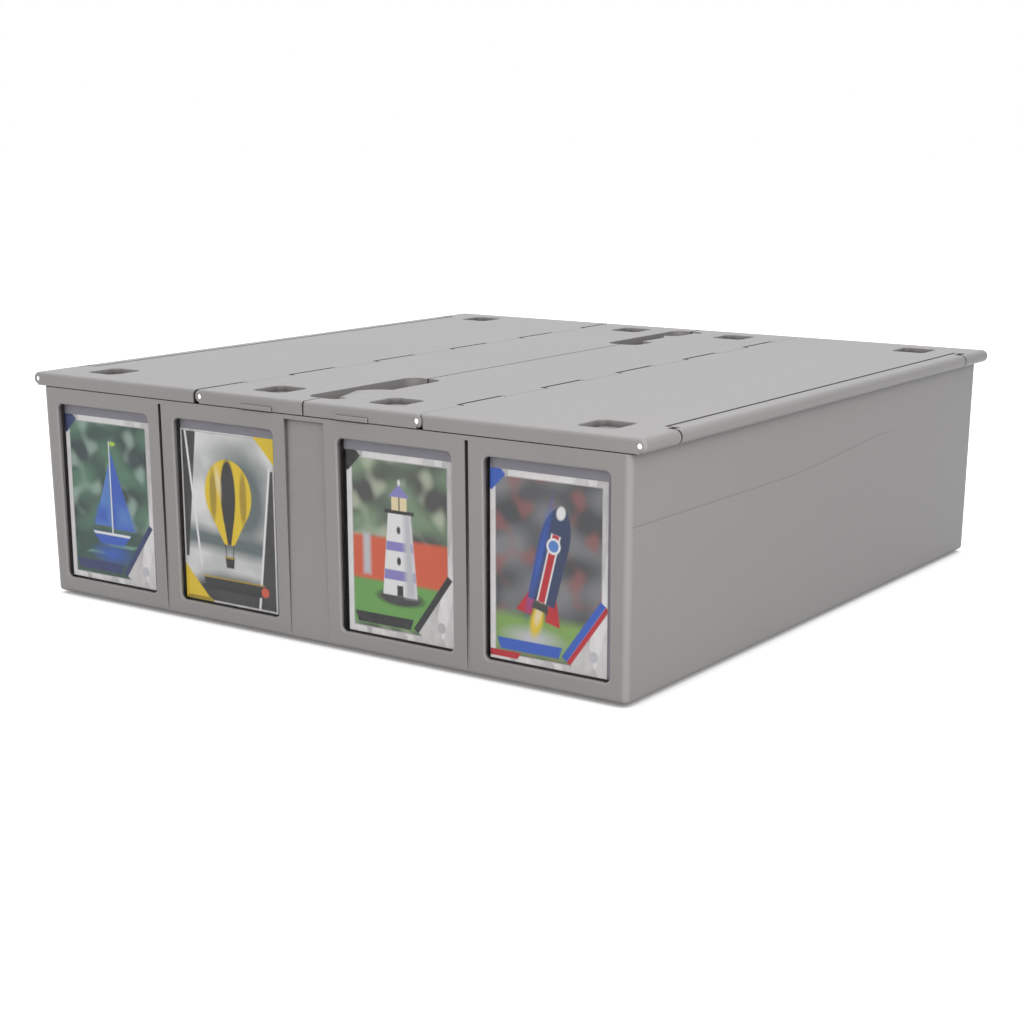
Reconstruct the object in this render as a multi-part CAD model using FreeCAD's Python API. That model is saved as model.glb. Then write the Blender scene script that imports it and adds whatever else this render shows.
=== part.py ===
# Trading card storage bin: four rows under a lid of four panels that fold on hinge rods.
# Millimetres, +Z up. The front wall with the card windows faces -Y.
# The origin is under the middle of the bin, on the surface that its moulded feet stand on.
import FreeCAD, Part
import math
import os

V = FreeCAD.Vector

# Bin body
rim_width = 370.0  # across the side walls at the rim
rim_depth = 385.0  # from the front wall to the back wall at the rim
wall_height = 112.5  # from the underside of the floor to the rim
wall_lean = 1.1  # how far each wall stands in at the floor
wall = 2.4
floor_thickness = 2.6
divider = 2.4  # wall between the two rows of a pair
channel_width = 25.2  # centre channel with its two walls
channel_wall = 2.0
body_corner_radius = 3.2
bottom_edge_radius = 2.2
rim_edge_radius = 0.5
row_corner_radius = 2.0
foot_height = 1.5

# Card windows and the slot behind each of them
skin = 2.8  # front wall at the rim, in front of the slot
holder_frame = 2.0  # wall behind the slot
frame_opening_width = 72.4
window_width = 68.0
window_height = 95.0
window_sill = 8.8  # from the underside of the floor
window_corner_radius = 3.0
window_edge_radius = 1.0
slot_floor = 5.1  # from the underside of the floor

# Mould grooves and the sunk centre panel, which run out towards the floor
groove_width = 2.0
groove_depth = 2.4
panel_sink = 2.1
run_out_depth = 0.3
front_detail_margin = 2.2  # below the rim
back_detail_depth = 1.2

# Lid
lid_gap = 0.4
lid_height = 6.9
lid_plate = 2.2
skirt = 2.2
lid_edge_radius = 1.7
seam_gap = 0.9
seam_flange = 1.8
seam_flange_lift = 0.8  # how far the flanges end above the skirts
fold_hinge_x = 69.0
knuckle_count = 11
end_knuckle = 34.0
knuckle_gap = 1.2
knuckle_clearance = 0.5
hinge_lip = 2.2  # from a fold axis to the plate edge that lies over the neighbour's knuckle
rail_slit = 1.8  # between the plate of an outer panel and the raised side wall
slit_front_distance = 34.0  # from the lid's front edge to the slit
slit_back_distance = 25.0
barrel_front_distance = 30.5  # from the lid's front edge to the long hinge barrel
barrel_back_distance = 34.5

# Hinge rods
rod_diameter = 2.5
rod_clearance = 0.08
rod_inset = 0.3
hinge_stand_off = 3.9  # rod axis outside the side wall

# Stacking recesses in the lid, and the feet that match them
recess_width = 20.2
recess_length = 21.6
recess_depth = 3.0
recess_radius = 3.6
recess_edge_radius = 0.5
recess_wall = 1.6
stack_outer_x = 156.7
stack_inner_x = 37.4
stack_end_distance = 25.5  # recess centre from the end wall
stack_clearance = 0.8

# Finger holes across the centre seam
hole_width = 21.6
hole_length = 84.5
hole_end_distance = 13.5
hole_radius = 6.5
hole_flange = 1.7
tab_radius = 17.9
tab_reach = 13.8  # from the edge of the hole
tab_distance = 24.0  # tab centre from the outer end of the hole
tab_dish_radius = 12.5
tab_dish_depth = 1.5
tab_dish_x = -2.0  # past the seam, so that the dish runs out at the edge of the tab
tab_dish_offset = 7.0
rear_ledge_reach = 7.8
rear_ledge_length = 40.5  # from the middle of the tab

# Finger lips on the skirts of the inner panels
lip_start = 20.2
lip_length = 20.2
lip_height = 2.3
lip_stand_out = 1.0
lip_radius = 0.45

# Rigid card holder, soft sleeve and card, one of each in every slot
holder_width = 76.2
holder_height = 101.6
holder_thickness = 1.9
holder_sheet = 0.4
holder_side_weld = 3.2
holder_bottom_weld = 4.4  # the card rests on it, just above the window's sill
slot_side_clearance = 0.6
slot_face_clearance = 0.3
sleeve_width = 66.5
sleeve_height = 95.0
sleeve_thickness = 0.7
sleeve_film = 0.12
sleeve_shift = 0.4  # sideways from the middle of the window
card_width = 63.5
card_height = 88.9
card_thickness = 0.35
card_shifts = (-0.9, -0.9, 0.6, -0.9)  # from the middle of each window, by how the card lies in its sleeve

# Row partitions
partition_thickness = 1.8
partition_height = 96.0
partition_side_clearance = 0.6
partition_foot_length = 16.0
partition_corner_radius = 4.0
partition_notch_radius = 12.0
partition_gusset_height = 30.0
partition_gusset_inset = 12.0
partition_back_distance = 62.0  # face of the partition from the back wall at the rim

# Lengths that only guide the modelling
cut_margin = 1.0  # how far a cutting shape runs past the face it opens
edge_reach = 0.02  # how near a plane or an axis an edge must be to be picked

# Worked out from the sizes above
half_width = rim_width / 2
half_depth = rim_depth / 2
floor_z = foot_height
rim_z = floor_z + wall_height
row_floor_z = floor_z + floor_thickness
lid_bottom = rim_z + lid_gap
lid_top = lid_bottom + lid_height
plate_bottom = lid_top - lid_plate
barrel_radius = lid_height / 2
rod_z = lid_bottom + barrel_radius
rod_bore_radius = rod_diameter / 2 + rod_clearance
lid_hinge_x = half_width + hinge_stand_off
notch_radius = barrel_radius + knuckle_clearance
side_wall_inner_x = half_width - wall
channel_half = channel_width / 2
row_width = (half_width - wall - channel_half - divider) / 2
inner_row_x = channel_half + row_width / 2
outer_row_x = half_width - wall - row_width / 2
divider_x = (inner_row_x + outer_row_x) / 2
slot_width = holder_width + 2 * slot_side_clearance
slot_thickness = holder_thickness + 2 * slot_face_clearance
slot_face_y = -half_depth + skin
slot_rear_y = slot_face_y + slot_thickness
row_front_y = slot_rear_y + holder_frame
slot_floor_z = floor_z + slot_floor
window_low_z = floor_z + window_sill
holder_y = (slot_face_y + slot_rear_y) / 2
slit_front_y = -half_depth + slit_front_distance
slit_back_y = half_depth - slit_back_distance
barrel_front_y = -half_depth + barrel_front_distance
barrel_back_y = half_depth - barrel_back_distance
flange_bottom = lid_bottom + seam_flange_lift
tab_centre_x = hole_width / 2 - tab_reach + tab_radius
tab_centre_y = -half_depth + hole_end_distance + tab_distance


def lean_at(z):
    return wall_lean * (rim_z - z) / wall_height


def block(x0, x1, y0, y1, z0, z1):
    corner = V(min(x0, x1), min(y0, y1), min(z0, z1))
    return Part.makeBox(abs(x1 - x0), abs(y1 - y0), abs(z1 - z0), corner)


def rod_along_y(radius, x, z, y0, y1):
    return Part.makeCylinder(radius, y1 - y0, V(x, y0, z), V(0, 1, 0))


def rod_bore(x):
    return rod_along_y(rod_bore_radius, x, rod_z, -half_depth, half_depth)


def arc(u, v, radius, start_degrees, point_at):
    # A quarter circle about the point (u, v) of a plane.
    points = []
    for degrees in (start_degrees, start_degrees + 45, start_degrees + 90):
        angle = math.radians(degrees)
        points.append(point_at(u + radius * math.cos(angle), v + radius * math.sin(angle)))
    return Part.Arc(points[0], points[1], points[2]).toShape()


def rounded_outline(u0, u1, v0, v1, radius, point_at):
    corners = (
        (u1 - radius, v1 - radius, 0),
        (u0 + radius, v1 - radius, 90),
        (u0 + radius, v0 + radius, 180),
        (u1 - radius, v0 + radius, 270),
    )
    edges = []
    arcs = [arc(u, v, radius, start, point_at) for u, v, start in corners]
    for index, this_arc in enumerate(arcs):
        following = arcs[(index + 1) % len(arcs)]
        edges.append(this_arc)
        edges.append(Part.makeLine(this_arc.lastVertex(True).Point, following.firstVertex(True).Point))
    return Part.Wire(edges)


def flat_outline(x0, x1, y0, y1, radius, z):
    return rounded_outline(x0, x1, y0, y1, radius, lambda u, v: V(u, v, z))


def rounded_block(x0, x1, y0, y1, z0, z1, radius):
    face = Part.Face(flat_outline(x0, x1, y0, y1, radius, z0))
    return face.extrude(V(0, 0, z1 - z0))


def rounded_opening(x0, x1, z0, z1, y0, y1, radius):
    outline = rounded_outline(x0, x1, z0, z1, radius, lambda u, v: V(u, y0, v))
    return Part.Face(outline).extrude(V(0, y1 - y0, 0))


def tapered_block(low, high, z0, z1, radius):
    wires = [
        flat_outline(low[0], low[1], low[2], low[3], radius, z0),
        flat_outline(high[0], high[1], high[2], high[3], radius, z1),
    ]
    return Part.makeLoft(wires, True, True)


def edges_where(shape, wanted):
    found = []
    for edge in shape.Edges:
        middle = (edge.FirstParameter + edge.LastParameter) / 2
        places = (edge.FirstParameter, middle, edge.LastParameter)
        if all(wanted(edge.valueAt(place)) for place in places):
            found.append(edge)
    return found


def mirrored(shape, side):
    if side > 0:
        return shape
    return shape.mirror(V(0, 0, 0), V(1, 0, 0))


def front_to_back(shape):
    return shape.mirror(V(0, 0, 0), V(0, 1, 0))


def window_limits(row_x):
    return row_x - window_width / 2, row_x + window_width / 2


def row_centres():
    return [-outer_row_x, -inner_row_x, inner_row_x, outer_row_x]


def outer_shell():
    low = lean_at(floor_z)
    bottom = (-half_width + low, half_width - low, -half_depth + low, half_depth - low)
    rim = (-half_width, half_width, -half_depth, half_depth)
    shell = tapered_block(bottom, rim, floor_z, rim_z, body_corner_radius)
    bottom_edges = edges_where(shell, lambda p: abs(p.z - floor_z) < edge_reach)
    shell = shell.makeFillet(bottom_edge_radius, bottom_edges)
    rim_edges = edges_where(shell, lambda p: abs(p.z - rim_z) < edge_reach)
    return shell.makeFillet(rim_edge_radius, rim_edges)


def window_opening(row_x):
    x0, x1 = window_limits(row_x)
    top = window_low_z + window_height
    ahead = -half_depth - cut_margin
    return rounded_opening(x0, x1, window_low_z, top, ahead, slot_rear_y, window_corner_radius)


def round_window_edges(shell):
    def on_window_edge(point):
        on_front = abs(point.y + half_depth - lean_at(point.z)) < edge_reach
        in_height = abs(point.z - window_low_z - window_height / 2) < window_height / 2 + edge_reach
        near_row = min(abs(point.x - x) for x in row_centres()) < window_width / 2 + edge_reach
        return on_front and in_height and near_row

    return shell.makeFillet(window_edge_radius, edges_where(shell, on_window_edge))


def sloping_sink(x0, x1, depth_at_top, wall_y, facing):
    # A sink in an end wall, deepest at the top, that runs out towards the floor.
    top_z = rim_z - front_detail_margin
    low_z = floor_z + bottom_edge_radius
    deep_y = wall_y - facing * depth_at_top
    shallow_y = wall_y - facing * (lean_at(low_z) + run_out_depth)
    clear_y = wall_y + facing * cut_margin
    corners = [(clear_y, top_z), (deep_y, top_z), (shallow_y, low_z), (clear_y, low_z), (clear_y, top_z)]
    face = Part.Face(Part.makePolygon([V(x0, y, z) for y, z in corners]))
    return face.extrude(V(x1 - x0, 0, 0))


def end_wall_sinks(wall_y, facing, groove, panel):
    sinks = [sloping_sink(-channel_half, channel_half, panel, wall_y, facing)]
    for start in (-divider_x - groove_width / 2, divider_x - groove_width / 2):
        sinks.append(sloping_sink(start, start + groove_width, groove, wall_y, facing))
    return sinks


def row_space(row_x):
    # The outer rows follow the lean of the side wall, and every row that of the back wall.
    top = rim_z + cut_margin
    x0, x1 = row_x - row_width / 2, row_x + row_width / 2
    back = half_depth - wall
    limits = []
    for z in (row_floor_z, top):
        lean = lean_at(z)
        left = x0 + (lean if row_x < -divider_x else 0)
        right = x1 - (lean if row_x > divider_x else 0)
        limits.append((left, right, row_front_y, back - lean))
    return tapered_block(limits[0], limits[1], row_floor_z, top, row_corner_radius)


def channel_space():
    half = channel_half - channel_wall
    front = -half_depth + panel_sink + wall
    back = half_depth - wall - back_detail_depth - lean_at(row_floor_z)
    return rounded_block(-half, half, front, back, row_floor_z, rim_z + cut_margin, row_corner_radius)


def holder_slot(row_x):
    x0, x1 = row_x - slot_width / 2, row_x + slot_width / 2
    return block(x0, x1, slot_face_y, slot_rear_y, slot_floor_z, rim_z + cut_margin)


def frame_opening(row_x):
    # The frame behind the slot is open upwards, so that a holder can be pushed up and out.
    x0, x1 = row_x - frame_opening_width / 2, row_x + frame_opening_width / 2
    y0, y1 = slot_face_y + slot_thickness / 2, row_front_y + cut_margin / 2
    return block(x0, x1, y0, y1, window_low_z, rim_z + cut_margin)


def side_rail(side):
    # The side wall rises to the top of the lid here and carries the long hinge barrel of the bin.
    y0, y1 = slit_front_y + knuckle_gap, slit_back_y - knuckle_gap
    raised_wall = block(side_wall_inner_x, half_width, y0, y1, rim_z - wall, lid_top)
    web = block(side_wall_inner_x, lid_hinge_x, y0, barrel_back_y, lid_bottom, lid_top)
    barrel = rod_along_y(barrel_radius, lid_hinge_x, rod_z, barrel_front_y, barrel_back_y)
    return mirrored(raised_wall.fuse([web, barrel]), side)


def stack_places():
    end_y = half_depth - stack_end_distance
    columns = (-stack_outer_x, -stack_inner_x, stack_inner_x, stack_outer_x)
    return [(x, y) for x in columns for y in (-end_y, end_y)]


def stack_block(x, y, grow, z0, z1):
    half_x = recess_width / 2 + grow
    half_y = recess_length / 2 + grow
    return rounded_block(x - half_x, x + half_x, y - half_y, y + half_y, z0, z1, recess_radius + grow)


def bin_body():
    body = outer_shell()
    body = body.cut([window_opening(x) for x in row_centres()])
    body = round_window_edges(body)
    spaces = [row_space(x) for x in row_centres()]
    spaces += [holder_slot(x) for x in row_centres()]
    spaces += [frame_opening(x) for x in row_centres()]
    spaces += end_wall_sinks(-half_depth, -1, groove_depth, panel_sink)
    spaces += end_wall_sinks(half_depth, 1, back_detail_depth, back_detail_depth)
    spaces.append(channel_space())
    body = body.cut(spaces)
    foot_top = floor_z + floor_thickness / 2
    feet = [stack_block(x, y, -stack_clearance, 0, foot_top) for x, y in stack_places()]
    body = body.fuse([side_rail(-1), side_rail(1)] + feet)
    return body.cut([rod_bore(-lid_hinge_x), rod_bore(lid_hinge_x)]).removeSplitter()


def knuckle_spans():
    # Start and end of each knuckle of a fold hinge, from the front to the back.
    inner_pitch = (rim_depth - 2 * end_knuckle) / (knuckle_count - 2)
    edges = [-half_depth] + [-half_depth + end_knuckle + inner_pitch * n for n in range(knuckle_count - 1)]
    edges.append(half_depth)
    spans = []
    for n in range(knuckle_count):
        start = edges[n] + (knuckle_gap / 2 if n > 0 else 0)
        end = edges[n + 1] - (knuckle_gap / 2 if n < knuckle_count - 1 else 0)
        spans.append((start, end))
    return spans


def tray(x0, x1):
    # A shallow tray upside down: top plate with a skirt at the front and the back.
    blank = block(x0, x1, -half_depth, half_depth, lid_bottom, lid_top)
    inside = half_depth - skirt
    below = lid_bottom - cut_margin
    blank = blank.cut(block(x0 - cut_margin, x1 + cut_margin, -inside, inside, below, plate_bottom))
    end_edges = edges_where(
        blank, lambda p: abs(p.z - lid_top) < edge_reach and abs(abs(p.y) - half_depth) < edge_reach)
    return blank.makeFillet(lid_edge_radius, end_edges)


def knuckle(hinge_x, span):
    # A round barrel, rounded like the lid's edge where it ends at the front or the back.
    barrel = rod_along_y(barrel_radius, hinge_x, rod_z, span[0], span[1])
    end_edges = edges_where(barrel, lambda p: abs(abs(p.y) - half_depth) < edge_reach)
    return barrel.makeFillet(lid_edge_radius, end_edges) if end_edges else barrel


def knuckle_room(hinge_x, towards, span):
    # Room in the panel that lies towards one side for a knuckle of its neighbour. The plate reaches
    # over the knuckle as a lip, and the skirt stands clear, so that the panels can fold.
    y0, y1 = span[0] - knuckle_gap, span[1] + knuckle_gap
    low, high = lid_bottom - cut_margin, lid_top + cut_margin
    clearing = rod_along_y(notch_radius, hinge_x, rod_z, y0, y1)
    under_lip = block(hinge_x, hinge_x + towards * notch_radius, y0, y1, low, rod_z)
    behind_lip = block(hinge_x - towards * cut_margin, hinge_x + towards * hinge_lip, y0, y1, low, high)
    return clearing.fuse([under_lip, behind_lip])


def with_stack_recesses(panel, x):
    # Each recess is a cup that hangs under the plate.
    places = [place for place in stack_places() if abs(place[0] - x) < edge_reach]
    floor = lid_top - recess_depth
    cups = [stack_block(px, py, recess_wall, floor - recess_wall, plate_bottom) for px, py in places]
    recesses = [stack_block(px, py, 0, floor, lid_top + cut_margin) for px, py in places]
    panel = panel.fuse(cups).cut(recesses)

    def on_recess_edge(point):
        near_y = abs(abs(point.y) - half_depth + stack_end_distance) < recess_length / 2 + edge_reach
        near_x = abs(point.x - x) < recess_width / 2 + edge_reach
        return abs(point.z - lid_top) < edge_reach and near_x and near_y

    return panel.makeFillet(recess_edge_radius, edges_where(panel, on_recess_edge))


def outer_panel(side):
    # Built for the right side and mirrored for the left.
    spans = knuckle_spans()
    room_front_y = barrel_front_y - knuckle_gap
    room_back_y = barrel_back_y + knuckle_gap
    end_spans = [(-half_depth, room_front_y), (room_back_y, half_depth)]
    panel = tray(fold_hinge_x, lid_hinge_x)
    plate_end = side_wall_inner_x - rail_slit
    beside_barrel = lid_hinge_x - notch_radius
    beyond, above = lid_hinge_x + cut_margin, lid_top + cut_margin
    rooms = [knuckle_room(fold_hinge_x, 1, span) for span in spans[0::2]]
    rooms.append(block(plate_end, beyond, slit_front_y, slit_back_y, lid_bottom, above))
    rooms.append(block(beside_barrel, beyond, room_front_y, room_back_y, lid_bottom, above))
    panel = panel.cut(rooms)
    knuckles = [knuckle(fold_hinge_x, span) for span in spans[1::2]]
    knuckles += [knuckle(lid_hinge_x, span) for span in end_spans]
    panel = with_stack_recesses(panel.fuse(knuckles), stack_outer_x)
    bores = [rod_bore(x) for x in (fold_hinge_x, lid_hinge_x)]
    return mirrored(panel.cut(bores).removeSplitter(), side)


def finger_hole(grow, z0, z1, end):
    half = hole_width / 2 + grow
    start = -half_depth + hole_end_distance - grow
    shape = rounded_block(-half, half, start, start + hole_length + 2 * grow, z0, z1, hole_radius + grow)
    return shape if end < 0 else front_to_back(shape)


def finger_tab(end):
    # The round tab of the inner right panel that reaches over the seam, with a dish for a finger.
    # At the back a straight ledge carries on from the tab towards the middle of the bin.
    edge_x = hole_width / 2
    y0, y1 = tab_centre_y - tab_radius, tab_centre_y + tab_radius
    disc = Part.makeCylinder(tab_radius, lid_plate, V(tab_centre_x, tab_centre_y, plate_bottom))
    tab = disc.common(block(edge_x - tab_reach - cut_margin, edge_x, y0, y1, plate_bottom, lid_top))
    sphere_radius = (tab_dish_radius ** 2 + tab_dish_depth ** 2) / (2 * tab_dish_depth)
    sphere_z = lid_top - tab_dish_depth + sphere_radius
    dish_centre = V(tab_dish_x, tab_centre_y - tab_dish_offset, sphere_z)
    tab = tab.cut(Part.makeSphere(sphere_radius, dish_centre))
    if end < 0:
        return tab
    ledge_end = tab_centre_y + rear_ledge_length
    ledge = block(edge_x - rear_ledge_reach, edge_x, tab_centre_y, ledge_end, plate_bottom, lid_top)
    return front_to_back(tab.fuse(ledge.cut(Part.makeSphere(sphere_radius, dish_centre))))


def finger_lip(end):
    y0 = end * (half_depth - skirt / 2)
    y1 = end * (half_depth + lip_stand_out)
    lip = block(lip_start, lip_start + lip_length, y0, y1, lid_bottom, lid_bottom + lip_height)
    outer_edges = edges_where(lip, lambda p: abs(p.y - y1) < edge_reach)
    return lip.makeFillet(lip_radius, outer_edges)


def inner_panel(side):
    # Built for the right side. The left one is its mirror image without the finger tabs.
    spans = knuckle_spans()
    start = seam_gap / 2
    inside = half_depth - skirt
    panel = tray(start, fold_hinge_x)
    panel = panel.cut([knuckle_room(fold_hinge_x, -1, span) for span in spans[1::2]])
    added = [block(start, start + seam_flange, -inside, inside, flange_bottom, plate_bottom)]
    added += [knuckle(fold_hinge_x, span) for span in spans[0::2]]
    holes = []
    beyond_seam = block(start, fold_hinge_x, -half_depth, half_depth, flange_bottom, lid_top)
    for end in (-1, 1):
        added.append(finger_hole(hole_flange, flange_bottom, plate_bottom, end).common(beyond_seam))
        added.append(finger_lip(end))
        holes.append(finger_hole(0, lid_bottom - cut_margin, lid_top + cut_margin, end))
    panel = with_stack_recesses(panel.fuse(added).cut(holes), stack_inner_x)
    if side > 0:
        panel = panel.fuse([finger_tab(-1), finger_tab(1)])
    return mirrored(panel.cut(rod_bore(fold_hinge_x)).removeSplitter(), side)


def hinge_rod(x):
    end = half_depth - rod_inset
    return rod_along_y(rod_diameter / 2, x, rod_z, -end, end)


def card_holder(row_x):
    # Two clear sheets welded along both sides and the bottom, open at the top.
    x0, x1 = row_x - holder_width / 2, row_x + holder_width / 2
    y0, y1 = holder_y - holder_thickness / 2, holder_y + holder_thickness / 2
    outside = block(x0, x1, y0, y1, slot_floor_z, slot_floor_z + holder_height)
    low = slot_floor_z + holder_bottom_weld
    inside = block(
        x0 + holder_side_weld, x1 - holder_side_weld, y0 + holder_sheet, y1 - holder_sheet,
        low, slot_floor_z + holder_height + cut_margin,
    )
    return outside.cut(inside)


def card_sleeve(row_x):
    middle = row_x + sleeve_shift
    x0, x1 = middle - sleeve_width / 2, middle + sleeve_width / 2
    y0, y1 = holder_y - sleeve_thickness / 2, holder_y + sleeve_thickness / 2
    low = slot_floor_z + holder_bottom_weld
    outside = block(x0, x1, y0, y1, low, low + sleeve_height)
    inside = block(
        x0 + sleeve_film, x1 - sleeve_film, y0 + sleeve_film, y1 - sleeve_film,
        low + sleeve_film, low + sleeve_height + cut_margin,
    )
    return outside.cut(inside)


def display_card(card_x):
    low = slot_floor_z + holder_bottom_weld + sleeve_film
    y0, y1 = holder_y - card_thickness / 2, holder_y + card_thickness / 2
    return block(card_x - card_width / 2, card_x + card_width / 2, y0, y1, low, low + card_height)


def partition(row_x):
    # A plate that stands across the row on a foot, with two gussets and a thumb notch.
    width = row_width - wall_lean - 2 * partition_side_clearance
    shift = wall_lean / 2 if abs(row_x) > divider_x else 0
    centre = row_x - math.copysign(shift, row_x)
    x0, x1 = centre - width / 2, centre + width / 2
    y0 = half_depth - partition_back_distance
    y1 = y0 + partition_thickness
    top = row_floor_z + partition_height
    plate = rounded_opening(x0, x1, row_floor_z, top, y0, y1, partition_corner_radius)
    notch_cut = rod_along_y(partition_notch_radius, centre, top, y0 - cut_margin, y1 + cut_margin)
    foot_start, foot_end = x0 + partition_corner_radius, x1 - partition_corner_radius
    foot_y = y1 + partition_foot_length
    base = block(foot_start, foot_end, y0, foot_y, row_floor_z, row_floor_z + partition_thickness)
    gussets = []
    for gusset_x in (foot_start + partition_gusset_inset, foot_end - partition_gusset_inset):
        left = gusset_x - partition_thickness / 2
        corner = V(left, y0, row_floor_z)
        toe = V(left, foot_y, row_floor_z)
        peak = V(left, y0, row_floor_z + partition_gusset_height)
        face = Part.Face(Part.makePolygon([corner, toe, peak, corner]))
        gussets.append(face.extrude(V(partition_thickness, 0, 0)))
    return plate.cut(notch_cut).fuse([base] + gussets).removeSplitter()


def save(name, shape):
    solid = shape.Solids[0] if len(shape.Solids) == 1 else shape
    solid.exportStep("parts/" + name + ".step")
    box = solid.BoundBox
    print(name, len(shape.Solids), "solid, valid", shape.isValid(), "volume", round(shape.Volume, 1),
          "box", [round(v, 2) for v in (box.XMin, box.XMax, box.YMin, box.YMax, box.ZMin, box.ZMax)])


os.makedirs("parts", exist_ok=True)
save("bin_body", bin_body())
for side_name, side in (("left", -1), ("right", 1)):
    save("outer_" + side_name + "_lid_panel", outer_panel(side))
    save("inner_" + side_name + "_lid_panel", inner_panel(side))
    save("outer_" + side_name + "_hinge_rod", hinge_rod(side * lid_hinge_x))
    save("inner_" + side_name + "_hinge_rod", hinge_rod(side * fold_hinge_x))
for number, (row_x, card_shift) in enumerate(zip(row_centres(), card_shifts), 1):
    save("row_" + str(number) + "_card_holder", card_holder(row_x))
    save("row_" + str(number) + "_card_sleeve", card_sleeve(row_x))
    save("row_" + str(number) + "_display_card", display_card(row_x + card_shift))
    save("row_" + str(number) + "_partition", partition(row_x))
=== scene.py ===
import math

import bpy
from mathutils import Matrix, Vector


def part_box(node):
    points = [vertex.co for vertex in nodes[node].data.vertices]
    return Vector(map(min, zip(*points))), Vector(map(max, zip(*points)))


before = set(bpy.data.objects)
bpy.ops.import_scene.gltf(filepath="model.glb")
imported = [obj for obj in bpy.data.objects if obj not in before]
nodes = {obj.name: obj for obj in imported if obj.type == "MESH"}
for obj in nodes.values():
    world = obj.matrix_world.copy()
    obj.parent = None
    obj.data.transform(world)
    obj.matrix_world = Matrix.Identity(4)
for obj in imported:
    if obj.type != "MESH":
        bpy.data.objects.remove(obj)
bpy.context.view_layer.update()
print("frame loaded:", len(nodes), "nodes")

mm = 0.001
white = (1.0, 1.0, 1.0)
rowNames = ["row_1", "row_2", "row_3", "row_4"]
lidPlaces = ["outer_left", "outer_right", "inner_left", "inner_right"]


# Small helpers for node trees

def newMaterial(name):
    material = bpy.data.materials.new(name)
    material.use_nodes = True
    tree = material.node_tree
    shader = tree.nodes["Principled BSDF"]
    return material, tree, shader


def opaque(colour):
    return (*colour, 1.0)


def feed(tree, value, socket):
    # A number or a tuple is written on the socket, and another node's output is linked to it.
    if isinstance(value, (int, float, tuple)):
        socket.default_value = value
    elif value is not None:
        tree.links.new(value, socket)


def mathNode(tree, operation, first, second=None, clamp=False):
    node = tree.nodes.new("ShaderNodeMath")
    node.operation = operation
    node.use_clamp = clamp
    feed(tree, first, node.inputs[0])
    feed(tree, second, node.inputs[1])
    return node.outputs[0]


def vectorNode(tree, operation, first, second=None):
    node = tree.nodes.new("ShaderNodeVectorMath")
    node.operation = operation
    feed(tree, first, node.inputs[0])
    feed(tree, second, node.inputs[1])
    return node.outputs


def splitVector(tree, vector):
    node = tree.nodes.new("ShaderNodeSeparateXYZ")
    tree.links.new(vector, node.inputs[0])
    return node.outputs


def spread(tree, value, low, high, toLow=0.0, toHigh=1.0):
    node = tree.nodes.new("ShaderNodeMapRange")
    node.interpolation_type = "SMOOTHSTEP"
    tree.links.new(value, node.inputs["Value"])
    node.inputs["From Min"].default_value = low
    node.inputs["From Max"].default_value = high
    node.inputs["To Min"].default_value = toLow
    node.inputs["To Max"].default_value = toHigh
    return node.outputs["Result"]


def mixColour(tree, amount, below, above):
    node = tree.nodes.new("ShaderNodeMix")
    node.data_type = "RGBA"
    feed(tree, amount, node.inputs["Factor"])
    for label, colour in (("A", below), ("B", above)):
        feed(tree, opaque(colour) if isinstance(colour, tuple) else colour, node.inputs[label])
    return node.outputs["Result"]


def noise(tree, vector, scale, detail=2.0, roughness=0.5):
    node = tree.nodes.new("ShaderNodeTexNoise")
    node.inputs["Scale"].default_value = scale
    node.inputs["Detail"].default_value = detail
    node.inputs["Roughness"].default_value = roughness
    tree.links.new(vector, node.inputs["Vector"])
    return node.outputs["Fac"]


def voronoi(tree, vector, scale):
    node = tree.nodes.new("ShaderNodeTexVoronoi")
    node.inputs["Scale"].default_value = scale
    tree.links.new(vector, node.inputs["Vector"])
    return node.outputs


def occlusion(tree, reach, samples):
    node = tree.nodes.new("ShaderNodeAmbientOcclusion")
    node.samples = samples
    node.inputs["Distance"].default_value = reach
    return node


def objectCoordinates(tree):
    return tree.nodes.new("ShaderNodeTexCoord").outputs["Object"]


def newGroup(name, inputs, outputs):
    group = bpy.data.node_groups.new(name, "ShaderNodeTree")
    for label, kind, value in inputs:
        socket = group.interface.new_socket(name=label, in_out="INPUT", socket_type=kind)
        if value is not None:
            socket.default_value = value
    for label, kind in outputs:
        group.interface.new_socket(name=label, in_out="OUTPUT", socket_type=kind)
    ins = group.nodes.new("NodeGroupInput").outputs
    outs = group.nodes.new("NodeGroupOutput").inputs
    return group, ins, outs


def useGroup(tree, group, **values):
    node = tree.nodes.new("ShaderNodeGroup")
    node.node_tree = group
    for label, value in values.items():
        feed(tree, value, node.inputs[label])
    return node.outputs


def dress(name, material):
    for slot in nodes[name].material_slots:
        slot.material = material


# Moulded grey plastic of the bin, its lid and the partitions

plastic = {
    "colour": (0.335, 0.325, 0.322),
    # Painted highlight on the edges, and painted shade on the seams of the lid's top.
    "paintedEdgeTone": (0.54, 0.53, 0.525),
    "paintedSeamShade": (0.15, 0.145, 0.143),
    "seamHeight": (117.5 * mm, 119.0 * mm),
    "roughness": 0.38,
    "specular": 0.2,
    "edgeRadius": 0.5 * mm,
    "edgeReach": 1.0 * mm,
    "edgeTurn": (0.995, 0.82),
    "edgeOutward": (0.98, 0.7),
    # Painted shade in gaps, slots, recesses and corners, found by occlusion.
    "creviceShade": (0.07, 0.066, 0.065),
    "creviceReach": 6.0 * mm,
    "creviceDepth": (0.88, 0.3),
    "floorFade": (2.0 * mm, 9.0 * mm, 0.25, 0.95),
    # Painted highlight on upright rounded corners.
    "cornerHighlightShare": 0.15,
    "cornerHighlightTone": (1.0, 0.98, 0.97),
    "grainStrength": 0.08,
    "grainDepth": 0.2 * mm,
}
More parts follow.
